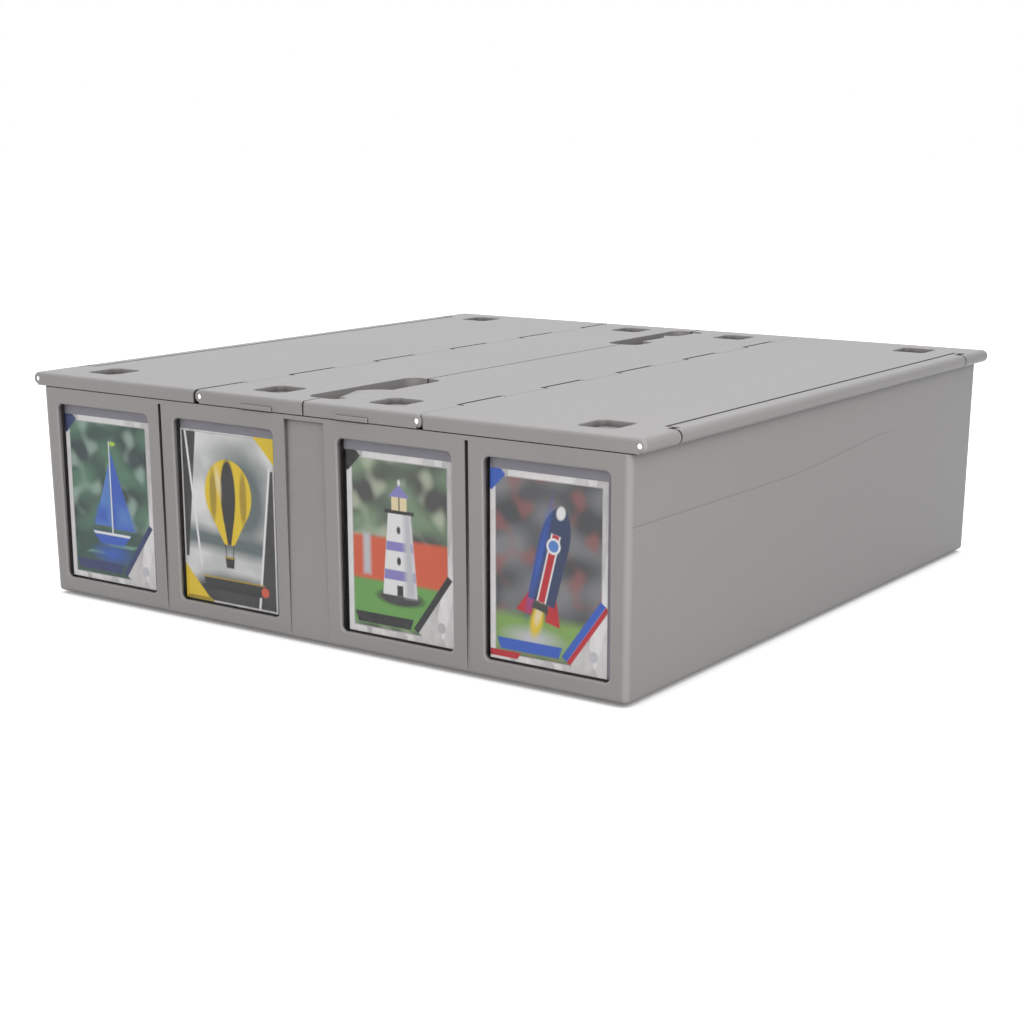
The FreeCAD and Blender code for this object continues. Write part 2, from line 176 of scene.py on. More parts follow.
mould = {
    "cloudScale": 9.0,
    "cloudTone": (0.3, 0.7, 0.965, 1.03),
    "cloudRoughness": (0.25, 0.75, -0.03, 0.04),
    "speckScale": 900.0,
    "speckTone": (0.3, 0.7, -0.012, 0.012),
    "grainScale": 2600.0,
}
scuff = {
    "front": 81.6 * mm,
    "rear": 88.6 * mm,
    "bend": (-50 * mm, 80 * mm),
    "fade": (60 * mm, 95 * mm),
    "width": (0.5 * mm, 0.15 * mm),
    "wallX": 184.2 * mm,
    "tone": (0.27, 0.262, 0.26),
}


def makeMouldGroup():
    # Fine spark texture and slow clouds of tone.
    group, ins, outs = newGroup(
        "satinMould",
        [("Vector", "NodeSocketVector", None), ("Colour", "NodeSocketColor", None)],
        [("Colour", "NodeSocketColor"), ("Roughness", "NodeSocketFloat"),
         ("Height", "NodeSocketFloat")])
    cloud = noise(group, ins["Vector"], mould["cloudScale"], 3.0)
    speck = noise(group, ins["Vector"], mould["speckScale"], 2.0)
    grain = noise(group, ins["Vector"], mould["grainScale"], 1.0)
    slow = spread(group, cloud, *mould["cloudTone"])
    quick = spread(group, speck, *mould["speckTone"])
    scale = group.nodes.new("ShaderNodeVectorMath")
    scale.operation = "SCALE"
    group.links.new(ins["Colour"], scale.inputs[0])
    group.links.new(mathNode(group, "ADD", slow, quick), scale.inputs["Scale"])
    group.links.new(scale.outputs[0], outs["Colour"])
    group.links.new(spread(group, cloud, *mould["cloudRoughness"]), outs["Roughness"])
    group.links.new(grain, outs["Height"])
    return group


def makeEdgeGroup():
    # Mask for a painted highlight on edges: found where the rounded normal leaves the true one, and
    # kept to edges that stand out.
    group, ins, outs = newGroup(
        "paintedEdgeHighlight", [("Rounded", "NodeSocketVector", None)], [("Mask", "NodeSocketFloat")])
    geometry = group.nodes.new("ShaderNodeNewGeometry")
    turn = vectorNode(group, "DOT_PRODUCT", ins["Rounded"], geometry.outputs["Normal"])["Value"]
    turned = spread(group, turn, *plastic["edgeTurn"])
    near = occlusion(group, plastic["edgeReach"], 4)
    near.inside = True
    near.only_local = True
    outward = spread(group, near.outputs["AO"], *plastic["edgeOutward"])
    group.links.new(mathNode(group, "MULTIPLY", turned, outward), outs["Mask"])
    return group


def makeCreviceGroup():
    # Painted shade in narrow gaps, slots and corners between the panels.
    group, ins, outs = newGroup(
        "paintedCreviceShade", [("Share", "NodeSocketFloat", 1.0)], [("Mask", "NodeSocketFloat")])
    near = occlusion(group, plastic["creviceReach"], 6)
    closed = spread(group, near.outputs["AO"], *plastic["creviceDepth"])
    group.links.new(mathNode(group, "MULTIPLY", closed, ins["Share"]), outs["Mask"])
    return group


mouldGroup = makeMouldGroup()
edgeGroup = makeEdgeGroup()
creviceGroup = makeCreviceGroup()


def roundedNormal(tree):
    bevel = tree.nodes.new("ShaderNodeBevel")
    bevel.samples = 6
    bevel.inputs["Radius"].default_value = plastic["edgeRadius"]
    return bevel.outputs[0]


def cornerTurn(tree, coordinates):
    # Mask for a painted highlight: one in the middle of an upright rounded corner, zero on the flat
    # walls.
    facing = splitVector(tree, coordinates.outputs["Normal"])
    both = mathNode(tree, "MULTIPLY", facing["X"], facing["Y"])
    return mathNode(tree, "MULTIPLY", mathNode(tree, "ABSOLUTE", both), 2.0, clamp=True)


def finishPlastic(tree, shader, coordinates, colour, surface, rounded):
    edge = useGroup(tree, edgeGroup, Rounded=rounded)["Mask"]
    height = splitVector(tree, coordinates.outputs["Object"])["Z"]
    aboveFloor = spread(tree, height, *plastic["floorFade"])
    creviceShade = useGroup(tree, creviceGroup, Share=aboveFloor)["Mask"]
    # Painted highlight on upright rounded corners.
    corner = mathNode(tree, "MULTIPLY", cornerTurn(tree, coordinates), plastic["cornerHighlightShare"])
    colour = mixColour(tree, corner, colour, plastic["cornerHighlightTone"])
    # The edges on the lid's top are seams, which get painted shade. All other edges get a painted
    # highlight.
    onTop = spread(tree, height, *plastic["seamHeight"])
    paintedEdgeTone = mixColour(tree, onTop, plastic["paintedEdgeTone"], plastic["paintedSeamShade"])
    colour = mixColour(tree, edge, colour, paintedEdgeTone)
    # Painted shade in gaps, slots and corners, faded out near the floor.
    colour = mixColour(tree, creviceShade, colour, plastic["creviceShade"])
    tree.links.new(colour, shader.inputs["Base Color"])
    rough = mathNode(tree, "ADD", surface["Roughness"], plastic["roughness"])
    tree.links.new(rough, shader.inputs["Roughness"])
    shader.inputs["Specular IOR Level"].default_value = plastic["specular"]
    bump = tree.nodes.new("ShaderNodeBump")
    bump.inputs["Strength"].default_value = plastic["grainStrength"]
    bump.inputs["Distance"].default_value = plastic["grainDepth"]
    tree.links.new(surface["Height"], bump.inputs["Height"])
    tree.links.new(rounded, bump.inputs["Normal"])
    tree.links.new(bump.outputs[0], shader.inputs["Normal"])


def addScuff(tree, coordinates, colour):
    # A fine rubbed line along the right wall that climbs towards the back.
    place = splitVector(tree, coordinates.outputs["Object"])
    height = spread(tree, place["Y"], *scuff["bend"], scuff["front"], scuff["rear"])
    away = mathNode(tree, "ABSOLUTE", mathNode(tree, "SUBTRACT", place["Z"], height))
    line = spread(tree, away, *scuff["width"])
    fade = spread(tree, place["Y"], *scuff["fade"], 1.0, 0.0)
    outside = mathNode(tree, "GREATER_THAN", place["X"], scuff["wallX"])
    mask = mathNode(tree, "MULTIPLY", mathNode(tree, "MULTIPLY", line, fade), outside)
    return mixColour(tree, mask, colour, scuff["tone"])


def makePlastic(name, scuffed=False):
    material, tree, shader = newMaterial(name)
    coordinates = tree.nodes.new("ShaderNodeTexCoord")
    surface = useGroup(
        tree, mouldGroup, Vector=coordinates.outputs["Object"], Colour=opaque(plastic["colour"]))
    colour = surface["Colour"]
    if scuffed:
        colour = addScuff(tree, coordinates, colour)
    finishPlastic(tree, shader, coordinates, colour, surface, roundedNormal(tree))
    return material


mouldedPlastic = makePlastic("mouldedPlastic")
for row in rowNames:
    dress(row + "_partition", mouldedPlastic)
for place in lidPlaces:
    dress(place + "_lid_panel", mouldedPlastic)
dress("bin_body", makePlastic("binPlastic", scuffed=True))


# Drawn steel of the hinge rods

steel = {
    "dark": (0.86, 0.86, 0.85),
    "light": (0.97, 0.97, 0.96),
    "roughness": (0.2, 0.8, 0.22, 0.4),
    "streakScale": 2500.0,
    "stretch": (1.0, 0.04, 1.0),
}


def makeSteel():
    material, tree, shader = newMaterial("drawnSteel")
    shader.inputs["Metallic"].default_value = 1.0
    stretch = tree.nodes.new("ShaderNodeMapping")
    stretch.inputs["Scale"].default_value = steel["stretch"]
    tree.links.new(objectCoordinates(tree), stretch.inputs["Vector"])
    streak = noise(tree, stretch.outputs[0], steel["streakScale"], 2.0)
    tree.links.new(spread(tree, streak, *steel["roughness"]), shader.inputs["Roughness"])
    colour = mixColour(tree, streak, steel["dark"], steel["light"])
    tree.links.new(colour, shader.inputs["Base Color"])
    return material


drawnSteel = makeSteel()
for place in lidPlaces:
    dress(place + "_hinge_rod", drawnSteel)
print("plastic and steel done")


# Clear rigid holders and the soft sleeves in them

holder = {
    "colour": (0.9, 0.93, 0.95),
    "roughness": 0.12,
    "facingBlend": 0.25,
    "alpha": (0.3, 1.0, 0.004, 0.14),
}
sleeve = {
    "film": (0.85, 0.88, 0.92),
    "filmAlpha": 0.006,
    # Painted shade: the dark strip past the card stands for the shaded wall behind the sleeve.
    "shadeStrip": (0.275, 0.27, 0.325),
    "stripAlpha": 0.97,
    "roughness": 0.35,
    "topOverlap": 0.4 * mm,
    "sideOverlap": 0.2 * mm,
}


def makeHolderPlastic():
    material, tree, shader = newMaterial("clearHolder")
    shader.inputs["Base Color"].default_value = opaque(holder["colour"])
    shader.inputs["Roughness"].default_value = holder["roughness"]
    facing = tree.nodes.new("ShaderNodeLayerWeight")
    facing.inputs["Blend"].default_value = holder["facingBlend"]
    alpha = spread(tree, facing.outputs["Facing"], *holder["alpha"])
    tree.links.new(alpha, shader.inputs["Alpha"])
    return material


def makeSleeveFilm(row):
    # The front film is clear. The back film is a dark blue-grey where it stands out past the card,
    # a painted shade that stands for the shaded pocket wall behind the sleeve.
    material, tree, shader = newMaterial(row + "_sleeveFilm")
    low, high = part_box(row + "_card_sleeve")
    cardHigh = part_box(row + "_display_card")[1]
    place = splitVector(tree, objectCoordinates(tree))
    back = mathNode(tree, "GREATER_THAN", place["Y"], (low.y + high.y) / 2)
    above = spread(tree, place["Z"], cardHigh.z - sleeve["topOverlap"], cardHigh.z)
    beside = mathNode(tree, "GREATER_THAN", place["X"], cardHigh.x - sleeve["sideOverlap"])
    shadeStrip = mathNode(tree, "MULTIPLY", back, mathNode(tree, "MAXIMUM", above, beside))
    shader.inputs["Roughness"].default_value = sleeve["roughness"]
    colour = mixColour(tree, shadeStrip, sleeve["film"], sleeve["shadeStrip"])
    tree.links.new(colour, shader.inputs["Base Color"])
    alpha = spread(tree, shadeStrip, 0.0, 1.0, sleeve["filmAlpha"], sleeve["stripAlpha"])
    tree.links.new(alpha, shader.inputs["Alpha"])
    return material


clearHolder = makeHolderPlastic()
for row in rowNames:
    dress(row + "_card_holder", clearHolder)
    dress(row + "_card_sleeve", makeSleeveFilm(row))
print("holders and sleeves done")


# Card faces: flat shapes over a blurred ground, in millimetres from the middle of the card

inks = {
    "snow": (0.93, 0.94, 0.96),
    "mist": (0.62, 0.64, 0.69),
    "slate": (0.13, 0.17, 0.175),
    "silver": (0.58, 0.58, 0.59),
    "charcoal": (0.035, 0.036, 0.038),
    "ink": (0.009, 0.009, 0.011),
    "navy": (0.020, 0.035, 0.14),
    "royal": (0.040, 0.125, 0.58),
    "azure": (0.10, 0.25, 0.66),
    "midnight": (0.024, 0.045, 0.12),
    "mint": (0.22, 0.44, 0.32),
    "lime": (0.48, 0.72, 0.10),
    "sea": (0.030, 0.080, 0.060),
    "yellow": (0.88, 0.64, 0.03),
    "gold": (0.45, 0.31, 0.02),
    "cream": (0.92, 0.80, 0.50),
    "coral": (0.74, 0.13, 0.060),
    "grass": (0.16, 0.40, 0.10),
    "lawn": (0.24, 0.42, 0.11),
    "lilac": (0.28, 0.26, 0.62),
    "crimson": (0.55, 0.022, 0.035),
}

# Each shape is its kind, ink, middle, half sizes, tilt in degrees to the right and softness.
# An oval has two half sizes. A taper has half its height, half its foot, half its head and how far
# its head leans.
cornerCut = [
    ("taper", "border", (26.8, -30.3), (17.0, 9.0, 9.0, 0.0), 36, 0.25),
]
sailCard = {
    "ground": ((0.022, 0.045, 0.045), (0.10, 0.23, 0.15), (0.42, 0.58, 0.50)),
    "margin": 3.2,
    "picture": [
        ("taper", "sea", (0, -30), (13, 30, 30, 0), 0, 2.5),
        ("taper", "mint", (7, -24), (0.7, 9, 12, 0), 0, 0.8),
        ("taper", "mint", (-12, -29), (0.6, 8, 5, 0), 0, 0.7),
        ("oval", "royal", (0, -29), (10, 4), 0, 3.5),
        ("taper", "royal", (0, -20.5), (3.2, 9, 15, 0), 0, 0.35),
        ("taper", "snow", (0, -18.2), (0.7, 13.4, 14.2, 0), 0, 0.25),
        ("taper", "royal", (9.4, 6), (21, 8.2, 0.2, -8.0), 0, 0.3),
        ("taper", "azure", (11.2, -8), (5, 5.5, 3.6, -1.9), 0, 3.0),
        ("taper", "azure", (-6.2, 3), (17, 6.6, 0.2, 6.4), 0, 0.3),
        ("taper", "royal", (-7.2, -8), (4, 4.6, 3.2, 1.4), 0, 2.5),
        ("taper", "snow", (0.8, 7), (25, 0.5, 0.35, 0), 0, 0.25),
        ("oval", "lime", (3.4, 31), (2.4, 1.1), 0, 0.3),
    ],
    "over": cornerCut + [
        ("taper", "navy", (19.5, -25), (17.5, 1.5, 1.5, 0), 36, 0.25),
        ("taper", "navy", (-10, -36.6), (2.5, 16, 18, 0), 0, 0.25),
        ("taper", "navy", (-31, 42), (5.5, 5.5, 5.5, 0), 45, 0.25),
        ("oval", "mist", (24.5, -35.5), (2.6, 2.6), 0, 0.4),
    ],
}
balloonCard = {
    "ground": ((0.62, 0.65, 0.65), (0.95, 0.96, 0.96), (0.80, 0.84, 0.84)),
    "margin": 1.0,
    "picture": [
        ("oval", "slate", (9, 12), (19, 25), -12, 7.0),
        ("taper", "slate", (0, -12), (5.0, 30, 30, 0), 3, 3.0),
        ("oval", "charcoal", (4, -47), (42, 18), 0, 3.0),
        ("taper", "charcoal", (-30, 12), (34, 1.0, 9.0, 0), 0, 0.3),
        ("taper", "snow", (-24.5, 10), (36, 0.7, 0.7, 0), -7, 0.25),
        ("taper", "charcoal", (30, -8), (36, 10.0, 1.0, 0), 0, 0.3),
        ("taper", "snow", (24.0, -8), (38, 0.7, 0.7, 0), 7, 0.25),
        ("taper", "yellow", (0, -5.5), (7.5, 3.4, 12.3, 0), 0, 0.35),
        ("oval", "yellow", (0, 13), (16, 18), 0, 0.35),
        ("oval", "gold", (-10.3, 12), (2.3, 13), 0, 0.5),
        ("oval", "gold", (10.3, 12), (2.3, 13), 0, 0.5),
        ("oval", "ink", (0, 13), (5.0, 17.8), 0, 0.35),
        ("taper", "ink", (0, -5.5), (7.5, 1.1, 4.0, 0), 0, 0.3),
        ("oval", "cream", (-6.5, 19), (1.4, 6.0), -8, 1.2),
        ("taper", "ink", (-2.6, -16.4), (3.8, 0.3, 0.3, 0), -8, 0.25),
        ("taper", "ink", (2.6, -16.4), (3.8, 0.3, 0.3, 0), 8, 0.25),
        ("taper", "ink", (0, -22.2), (2.8, 2.5, 3.3, 0), 0, 0.3),
        ("taper", "gold", (0, -19.7), (0.5, 3.5, 3.5, 0), 0, 0.2),
    ],
    "over": [
        ("taper", "yellow", (31.7, 44.4), (9.5, 9.5, 9.5, 0), 45, 0.25),
        ("taper", "yellow", (-31.7, -44.4), (13.0, 13.0, 13.0, 0), 45, 0.25),
        ("taper", "gold", (-22, -44.4), (2.0, 12, 8, 0), 0, 0.3),
        ("taper", "ink", (2, -34.6), (3.0, 19, 21, 0), 0, 0.25),
        ("taper", "gold", (2, -31.2), (0.4, 21, 21, 0), 0, 0.2),
        ("oval", "coral", (23.5, -34.6), (2.6, 2.6), 0, 0.3),
    ],
}
towerCard = {
    "ground": ((0.060, 0.065, 0.062), (0.22, 0.33, 0.21), (0.60, 0.68, 0.52)),
    "margin": 3.4,
    "picture": [
        ("taper", "coral", (0, -7), (11, 30, 30, 0), 0, 1.2),
        ("taper", "mist", (-20, -5), (10, 2.2, 2.2, 0), 0, 1.2),
        ("taper", "grass", (0, -28.5), (11, 30, 30, 0), 0, 1.2),
        ("oval", "charcoal", (0, -24.5), (14, 4.0), 0, 0.8),
        ("taper", "snow", (0, -3.5), (20, 10.4, 6.8, 0), 0, 0.3),
        ("taper", "lilac", (0, -13.5), (2.4, 9.5, 9.1, 0), 0, 0.3),
        ("taper", "lilac", (0, 0.5), (2.2, 8.25, 7.85, 0), 0, 0.3),
        ("taper", "mist", (6.6, -3.5), (20, 3.0, 1.9, -2.2), 0, 1.6),
        ("oval", "ink", (-0.5, -6.5), (1.2, 2.0), 0, 0.3),
        ("oval", "ink", (-0.5, 8.5), (1.1, 1.8), 0, 0.3),
        ("taper", "ink", (0, -21.0), (2.6, 1.8, 1.8, 0), 0, 0.3),
        ("taper", "ink", (0, 17.2), (0.9, 8.8, 8.8, 0), 0, 0.25),
        ("taper", "cream", (0, 21.3), (3.3, 4.6, 4.6, 0), 0, 0.3),
        ("taper", "ink", (0, 21.3), (3.3, 0.35, 0.35, 0), 0, 0.2),
        ("taper", "lilac", (0, 27.2), (2.8, 6.4, 0.5, 0), 0, 0.3),
        ("oval", "snow", (0, 31.4), (0.9, 1.5), 0, 0.3),
    ],
    "over": cornerCut + [
        ("taper", "ink", (19.5, -25), (17.5, 1.7, 1.7, 0), 36, 0.25),
        ("taper", "ink", (-10, -36.6), (2.6, 16, 18, 0), 0, 0.25),
        ("taper", "ink", (-31, 42), (5.5, 5.5, 5.5, 0), 45, 0.25),
        ("oval", "silver", (24.5, -35.5), (2.6, 2.6), 0, 0.4),
    ],
}
rocketCard = {
    "ground": ((0.060, 0.065, 0.072), (0.24, 0.25, 0.265), (0.34, 0.13, 0.13)),
    "margin": 3.2,
    "picture": [
        ("taper", "lawn", (0, -31), (9, 30, 30, 0), 0, 2.5),
        ("oval", "mist", (-8, -32), (12, 4), 0, 2.8),
        ("oval", "yellow", (-5.8, -23), (3.2, 8), 14, 1.0),
        ("oval", "cream", (-5.2, -20.8), (1.6, 4.6), 14, 0.8),
        ("taper", "crimson", (-11.2, -12.4), (8, 4.2, 0.8, 3.4), 14, 0.3),
        ("taper", "crimson", (4.6, -16.4), (8, 4.2, 0.8, -3.4), 14, 0.3),
        ("taper", "charcoal", (-4.1, -16.6), (1.8, 4.8, 3.8, 0), 14, 0.3),
        ("taper", "midnight", (0, 0), (15, 7.4, 8.0, 0), 14, 0.3),
        ("oval", "midnight", (3.4, 13.6), (8.0, 17), 14, 0.3),
        ("taper", "snow", (0.4, 1.6), (16.4, 2.6, 2.6, 0), 14, 0.3),
        ("taper", "crimson", (0.4, 1.6), (16.4, 1.8, 1.8, 0), 14, 0.3),
        ("oval", "royal", (-4.6, 6), (1.5, 17), 14, 1.6),
        ("oval", "snow", (3.0, 12.2), (3.8, 3.8), 0, 0.3),
        ("oval", "azure", (3.0, 12.2), (2.7, 2.7), 0, 0.3),
        ("oval", "snow", (6.9, 27.6), (2.4, 3.2), 14, 0.4),
    ],
    "over": cornerCut + [
        ("taper", "crimson", (21.6, -26.5), (17.5, 1.2, 1.2, 0), 36, 0.25),
        ("taper", "royal", (19.3, -24.8), (17.5, 1.7, 1.7, 0), 36, 0.25),
        ("taper", "royal", (-10, -36.6), (2.7, 16, 18, 0), 0, 0.25),
        ("taper", "crimson", (-24, -41.6), (1.6, 7.4, 9.4, 0), 0, 0.25),
        ("taper", "royal", (-31, 42), (5.5, 5.5, 5.5, 0), 45, 0.25),
        ("oval", "mist", (24.5, -35.5), (2.6, 2.6), 0, 0.4),
    ],
}
cards = [sailCard, balloonCard, towerCard, rocketCard]
blur = {
    "stretch": (0.8, 1.25, 1.0),
    "blotchScale": 0.05,
    "blotch": (0.3, 0.7),
    "spotScale": 0.09,
    "spot": (0.48, 0.8, 0.0, 0.75),
}
facets = {
    "tilt": math.radians(35.0),
    "stretch": (0.10, 0.045, 1.0),
    "dark": (0.50, 0.49, 0.49),
    "light": (0.96, 0.96, 0.97),
    "facetTone": (0.0, 0.7, 0.1, 0.8),
    "streakTone": (0.3, 0.7, 0.0, 0.2),
    "streakScale": 3.0,
}
paper = {
    "roughness": 0.42,
    "frameWidth": 0.45,
    "frameSoft": 0.2,
    "faceTurn": 0.5,
    "backDark": (0.10, 0.14, 0.24),
    "backLight": (0.42, 0.46, 0.54),
    "backScale": 0.25,
    "backTone": (0.2, 0.6),
}


def shapeGroup(name, extra):
    inputs = [("Vector", "NodeSocketVector", None), ("Centre", "NodeSocketVector", None)]
    inputs += [("Size", "NodeSocketVector", None), ("Angle", "NodeSocketFloat", None)]
    inputs += [("Soft", "NodeSocketFloat", None)] + extra
    group, ins, outs = newGroup(name, inputs, [("Mask", "NodeSocketFloat")])
    turn = group.nodes.new("ShaderNodeVectorRotate")
    turn.rotation_type = "Z_AXIS"
    offset = vectorNode(group, "SUBTRACT", ins["Vector"], ins["Centre"])["Vector"]
    group.links.new(offset, turn.inputs["Vector"])
    group.links.new(ins["Angle"], turn.inputs["Angle"])
    return group, ins, outs, turn.outputs[0]


def softEdge(group, ins, outs, distance):
    # The distance is to the outline, positive inside the shape.
    half = mathNode(group, "MULTIPLY", ins["Soft"], 2.0)
    share = mathNode(group, "DIVIDE", distance, half)
    group.links.new(mathNode(group, "ADD", share, 0.5, clamp=True), outs["Mask"])


def makeOvalGroup():
    group, ins, outs, local = shapeGroup("ovalMask", [])
    flat = vectorNode(group, "MULTIPLY", local, (1.0, 1.0, 0.0))["Vector"]
    share = vectorNode(group, "DIVIDE", flat, ins["Size"])["Vector"]
    reach = vectorNode(group, "LENGTH", share)["Value"]
    size = splitVector(group, ins["Size"])
    least = mathNode(group, "MINIMUM", size["X"], size["Y"])
    inside = mathNode(group, "SUBTRACT", 1.0, reach)
    softEdge(group, ins, outs, mathNode(group, "MULTIPLY", inside, least))
    return group


def makeTaperGroup():
    group, ins, outs, local = shapeGroup("taperMask", [("Lean", "NodeSocketFloat", None)])
    place = splitVector(group, local)
    size = splitVector(group, ins["Size"])
    height = mathNode(group, "DIVIDE", place["Y"], size["X"])
    share = mathNode(group, "MULTIPLY", mathNode(group, "ADD", height, 1.0), 0.5)
    change = mathNode(group, "MULTIPLY", mathNode(group, "SUBTRACT", size["Z"], size["Y"]), share)
    width = mathNode(group, "ADD", size["Y"], change)
    middle = mathNode(group, "MULTIPLY", ins["Lean"], share)
    across = mathNode(group, "ABSOLUTE", mathNode(group, "SUBTRACT", place["X"], middle))
    sideways = mathNode(group, "SUBTRACT", width, across)
    upright = mathNode(group, "SUBTRACT", size["X"], mathNode(group, "ABSOLUTE", place["Y"]))
    softEdge(group, ins, outs, mathNode(group, "MINIMUM", sideways, upright))
    return group


def makeGroundGroup():
    # A far background out of focus.
    group, ins, outs = newGroup(
        "blurredGround",
        [("Vector", "NodeSocketVector", None), ("Dark", "NodeSocketColor", None),
         ("Light", "NodeSocketColor", None), ("Accent", "NodeSocketColor", None)],
        [("Colour", "NodeSocketColor")])
    wide = group.nodes.new("ShaderNodeMapping")
    wide.inputs["Scale"].default_value = blur["stretch"]
    group.links.new(ins["Vector"], wide.inputs["Vector"])
    slow = noise(group, wide.outputs[0], blur["blotchScale"], 0.0)
    blotch = spread(group, slow, *blur["blotch"])
    quick = noise(group, ins["Vector"], blur["spotScale"], 0.0)
    spot = spread(group, quick, *blur["spot"])
    colour = mixColour(group, blotch, ins["Dark"], ins["Light"])
    colour = mixColour(group, spot, colour, ins["Accent"])
    group.links.new(colour, outs["Colour"])
    return group


def makeFacetGroup():
    # Pale border broken into slanting facets.
    group, ins, outs = newGroup(
        "paleFacets", [("Vector", "NodeSocketVector", None)], [("Colour", "NodeSocketColor")])
    slant = group.nodes.new("ShaderNodeMapping")
    slant.inputs["Rotation"].default_value = (0.0, 0.0, facets["tilt"])
    slant.inputs["Scale"].default_value = facets["stretch"]
    group.links.new(ins["Vector"], slant.inputs["Vector"])
    facet = splitVector(group, voronoi(group, slant.outputs[0], 1.0)["Color"])["X"]
    streak = noise(group, slant.outputs[0], facets["streakScale"], 2.0)
    facetTone = spread(group, facet, *facets["facetTone"])
    streakTone = spread(group, streak, *facets["streakTone"])
    tone = mathNode(group, "ADD", facetTone, streakTone)
    group.links.new(mixColour(group, tone, facets["dark"], facets["light"]), outs["Colour"])
    return group


shapeGroups = {"oval": makeOvalGroup(), "taper": makeTaperGroup()}
groundGroup = makeGroundGroup()
facetGroup = makeFacetGroup()


def paintShapes(tree, plane, colour, border, shapes):
    for kind, ink, centre, size, tilt, soft in shapes:
        values = {
            "Vector": plane, "Centre": (*centre, 0.0), "Angle": math.radians(tilt), "Soft": soft}
        if kind == "oval":
            values["Size"] = (*size, 1.0)
        else:
            values["Size"] = size[:3]
            values["Lean"] = float(size[3])
        mask = useGroup(tree, shapeGroups[kind], **values)["Mask"]
        colour = mixColour(tree, mask, colour, border if ink == "border" else inks[ink])
    return colour


def makeCard(name, low, high, card):
    material, tree, shader = newMaterial(name)
    middle = (low + high) / (2 * mm)
    toPlane = tree.nodes.new("ShaderNodeMapping")
    toPlane.inputs["Scale"].default_value = (1 / mm, 1 / mm, 1 / mm)
    toPlane.inputs["Rotation"].default_value = (math.radians(-90.0), 0.0, 0.0)
    toPlane.inputs["Location"].default_value = (-middle.x, -middle.z, middle.y)
    tree.links.new(objectCoordinates(tree), toPlane.inputs["Vector"])
    plane = toPlane.outputs[0]
    dark, light, accent = [opaque(tone) for tone in card["ground"]]
    ground = useGroup(
        tree, groundGroup, Vector=plane, Dark=dark, Light=light, Accent=accent)["Colour"]
    border = useGroup(tree, facetGroup, Vector=plane)["Colour"]
    picture = paintShapes(tree, plane, ground, border, card["picture"])
    halfWidth = (high.x - low.x) / (2 * mm) - card["margin"]
    halfHeight = (high.z - low.z) / (2 * mm) - card["margin"]
    colour = border
    for grow, paint in ((paper["frameWidth"], inks["silver"]), (0.0, picture)):
        size = (halfHeight + grow, halfWidth + grow, halfWidth + grow)
        window = useGroup(
            tree, shapeGroups["taper"], Vector=plane, Size=size, Soft=paper["frameSoft"])["Mask"]
        colour = mixColour(tree, window, colour, paint)
    colour = paintShapes(tree, plane, colour, border, card["over"])
    coordinates = tree.nodes.new("ShaderNodeTexCoord")
    facing = splitVector(tree, coordinates.outputs["Normal"])["Y"]
    front = mathNode(tree, "LESS_THAN", facing, -paper["faceTurn"])
    back = mathNode(tree, "GREATER_THAN", facing, paper["faceTurn"])
    lattice = spread(tree, voronoi(tree, plane, paper["backScale"])["Distance"], *paper["backTone"])
    reverse = mixColour(tree, lattice, paper["backDark"], paper["backLight"])
    whole = mixColour(tree, back, mixColour(tree, front, inks["snow"], colour), reverse)
    tree.links.new(whole, shader.inputs["Base Color"])
    shader.inputs["Roughness"].default_value = paper["roughness"]
    return material


for row, card in zip(rowNames, cards):
    low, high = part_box(row + "_display_card")
    dress(row + "_display_card", makeCard(row + "_print", low, high, card))
print("cards done")


# Floor, lamps, world and camera

stage = {
    "floorSize": 24.0,
    "floorColour": (0.45, 0.45, 0.45),
    "floorRoughness": 0.9,
    "floorGlow": 1.0,
    # Painted contact shadow: the floor's glow level and reach next to the bin.
    "paintedShadowGlow": 0.15,
    "paintedShadowReach": 14 * mm,
    "worldColour": (0.965, 0.98, 1.0),
    "worldStrength": 0.65,
}
lamps = [
    {"name": "overhead", "place": (-0.6, 0.4, 1.8), "target": (0.0, 0.0, 0.1),
     "size": (1.8, 1.8), "power": 15.5, "colour": (0.95, 0.97, 1.0)},
    {"name": "front", "place": (-0.6, -2.2, 0.9), "target": (0.0, 0.0, 0.08),
     "size": (1.4, 1.2), "power": 9.4, "colour": (1.0, 0.91, 0.84)},
    {"name": "side", "place": (0.62, -0.35, 0.4), "target": (0.18, -0.16, 0.06),
     "size": (0.3, 0.4), "power": 1.0, "colour": (1.0, 0.93, 0.87)},
    {"name": "low side", "place": (1.1, -1.35, 0.4), "target": (0.1, -0.15, 0.06),
     "size": (0.5, 0.7), "power": 2.0, "colour": (1.0, 0.96, 0.93)},
]


def backgroundRays(tree):
    # One for rays that show the white background, straight or in metal and clear plastic.
    rays = tree.nodes.new("ShaderNodeLightPath").outputs
    direct = mathNode(tree, "MAXIMUM", rays["Is Camera Ray"], rays["Is Transmission Ray"])
    return mathNode(tree, "MAXIMUM", direct, rays["Is Glossy Ray"])


def makeFloor():
    bpy.ops.mesh.primitive_plane_add(size=stage["floorSize"])
    floor = bpy.context.object
    floor.name = "floor"
    material, tree, shader = newMaterial("paleFloor")
    shader.inputs["Base Color"].default_value = opaque(stage["floorColour"])
    shader.inputs["Roughness"].default_value = stage["floorRoughness"]
    shader.inputs["Emission Color"].default_value = opaque(white)
    # Painted contact shadow: the floor's glow is dimmed where occlusion finds the bin nearby.
    near = occlusion(tree, stage["paintedShadowReach"], 6)
    glow = spread(tree, near.outputs["AO"], 0.0, 1.0, stage["paintedShadowGlow"], stage["floorGlow"])
    strength = mathNode(tree, "MULTIPLY", backgroundRays(tree), glow)
    tree.links.new(strength, shader.inputs["Emission Strength"])
    floor.data.materials.append(material)


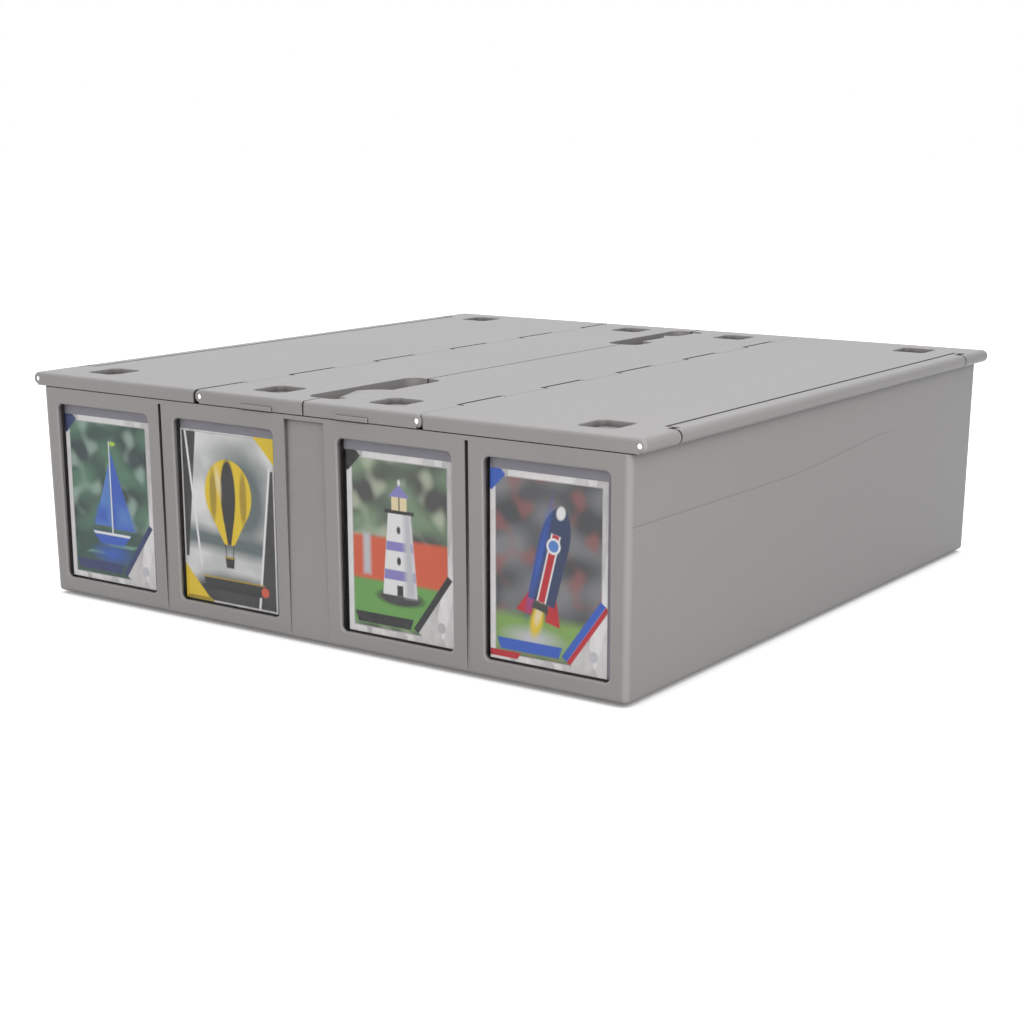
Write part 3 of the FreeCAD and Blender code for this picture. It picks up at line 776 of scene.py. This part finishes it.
def makeWorld():
    world = bpy.data.worlds.new("studio")
    bpy.context.scene.world = world
    world.use_nodes = True
    tree = world.node_tree
    background = tree.nodes["Background"]
    seen = backgroundRays(tree)
    colour = mixColour(tree, seen, stage["worldColour"], white)
    tree.links.new(colour, background.inputs["Color"])
    strength = spread(tree, seen, 0.0, 1.0, stage["worldStrength"], 1.0)
    tree.links.new(strength, background.inputs["Strength"])


def addLamp(lamp):
    data = bpy.data.lights.new(lamp["name"], "AREA")
    data.shape = "RECTANGLE"
    data.size, data.size_y = lamp["size"]
    data.energy = lamp["power"]
    data.color = lamp["colour"]
    light = bpy.data.objects.new(lamp["name"], data)
    bpy.context.scene.collection.objects.link(light)
    direction = Vector(lamp["target"]) - Vector(lamp["place"])
    turn = direction.to_track_quat("-Z", "Y").to_matrix().to_4x4()
    light.matrix_world = Matrix.Translation(lamp["place"]) @ turn


camera = {
    "place": (0.5934, -0.8570, 0.2509),
    "turn": 35.30,
    "down": 13.83,
    "roll": -0.06,
    "focalPixels": 1858.6,
    "centrePixel": (512.0, 580.0),
    "imagePixels": 1024.0,
    "sensor": 36.0,
    "clipStart": 0.01,
}


def makeCamera():
    data = bpy.data.cameras.new("camera")
    data.sensor_width = camera["sensor"]
    data.lens = camera["sensor"] * camera["focalPixels"] / camera["imagePixels"]
    half = camera["imagePixels"] / 2
    data.shift_x = (half - camera["centrePixel"][0]) / camera["imagePixels"]
    data.shift_y = (camera["centrePixel"][1] - half) / camera["imagePixels"]
    data.clip_start = camera["clipStart"]
    cam = bpy.data.objects.new("camera", data)
    bpy.context.scene.collection.objects.link(cam)
    level = Matrix.Rotation(math.radians(90.0), 4, "X")
    tip = Matrix.Rotation(math.radians(-camera["down"]), 4, "X")
    roll = Matrix.Rotation(math.radians(camera["roll"]), 4, "Z")
    heading = Matrix.Rotation(math.radians(camera["turn"]), 4, "Z")
    cam.matrix_world = Matrix.Translation(camera["place"]) @ heading @ level @ tip @ roll
    bpy.context.scene.camera = cam


makeFloor()
makeWorld()
for lamp in lamps:
    addLamp(lamp)
makeCamera()
bpy.context.scene.view_settings.view_transform = "Standard"
print("stage done")
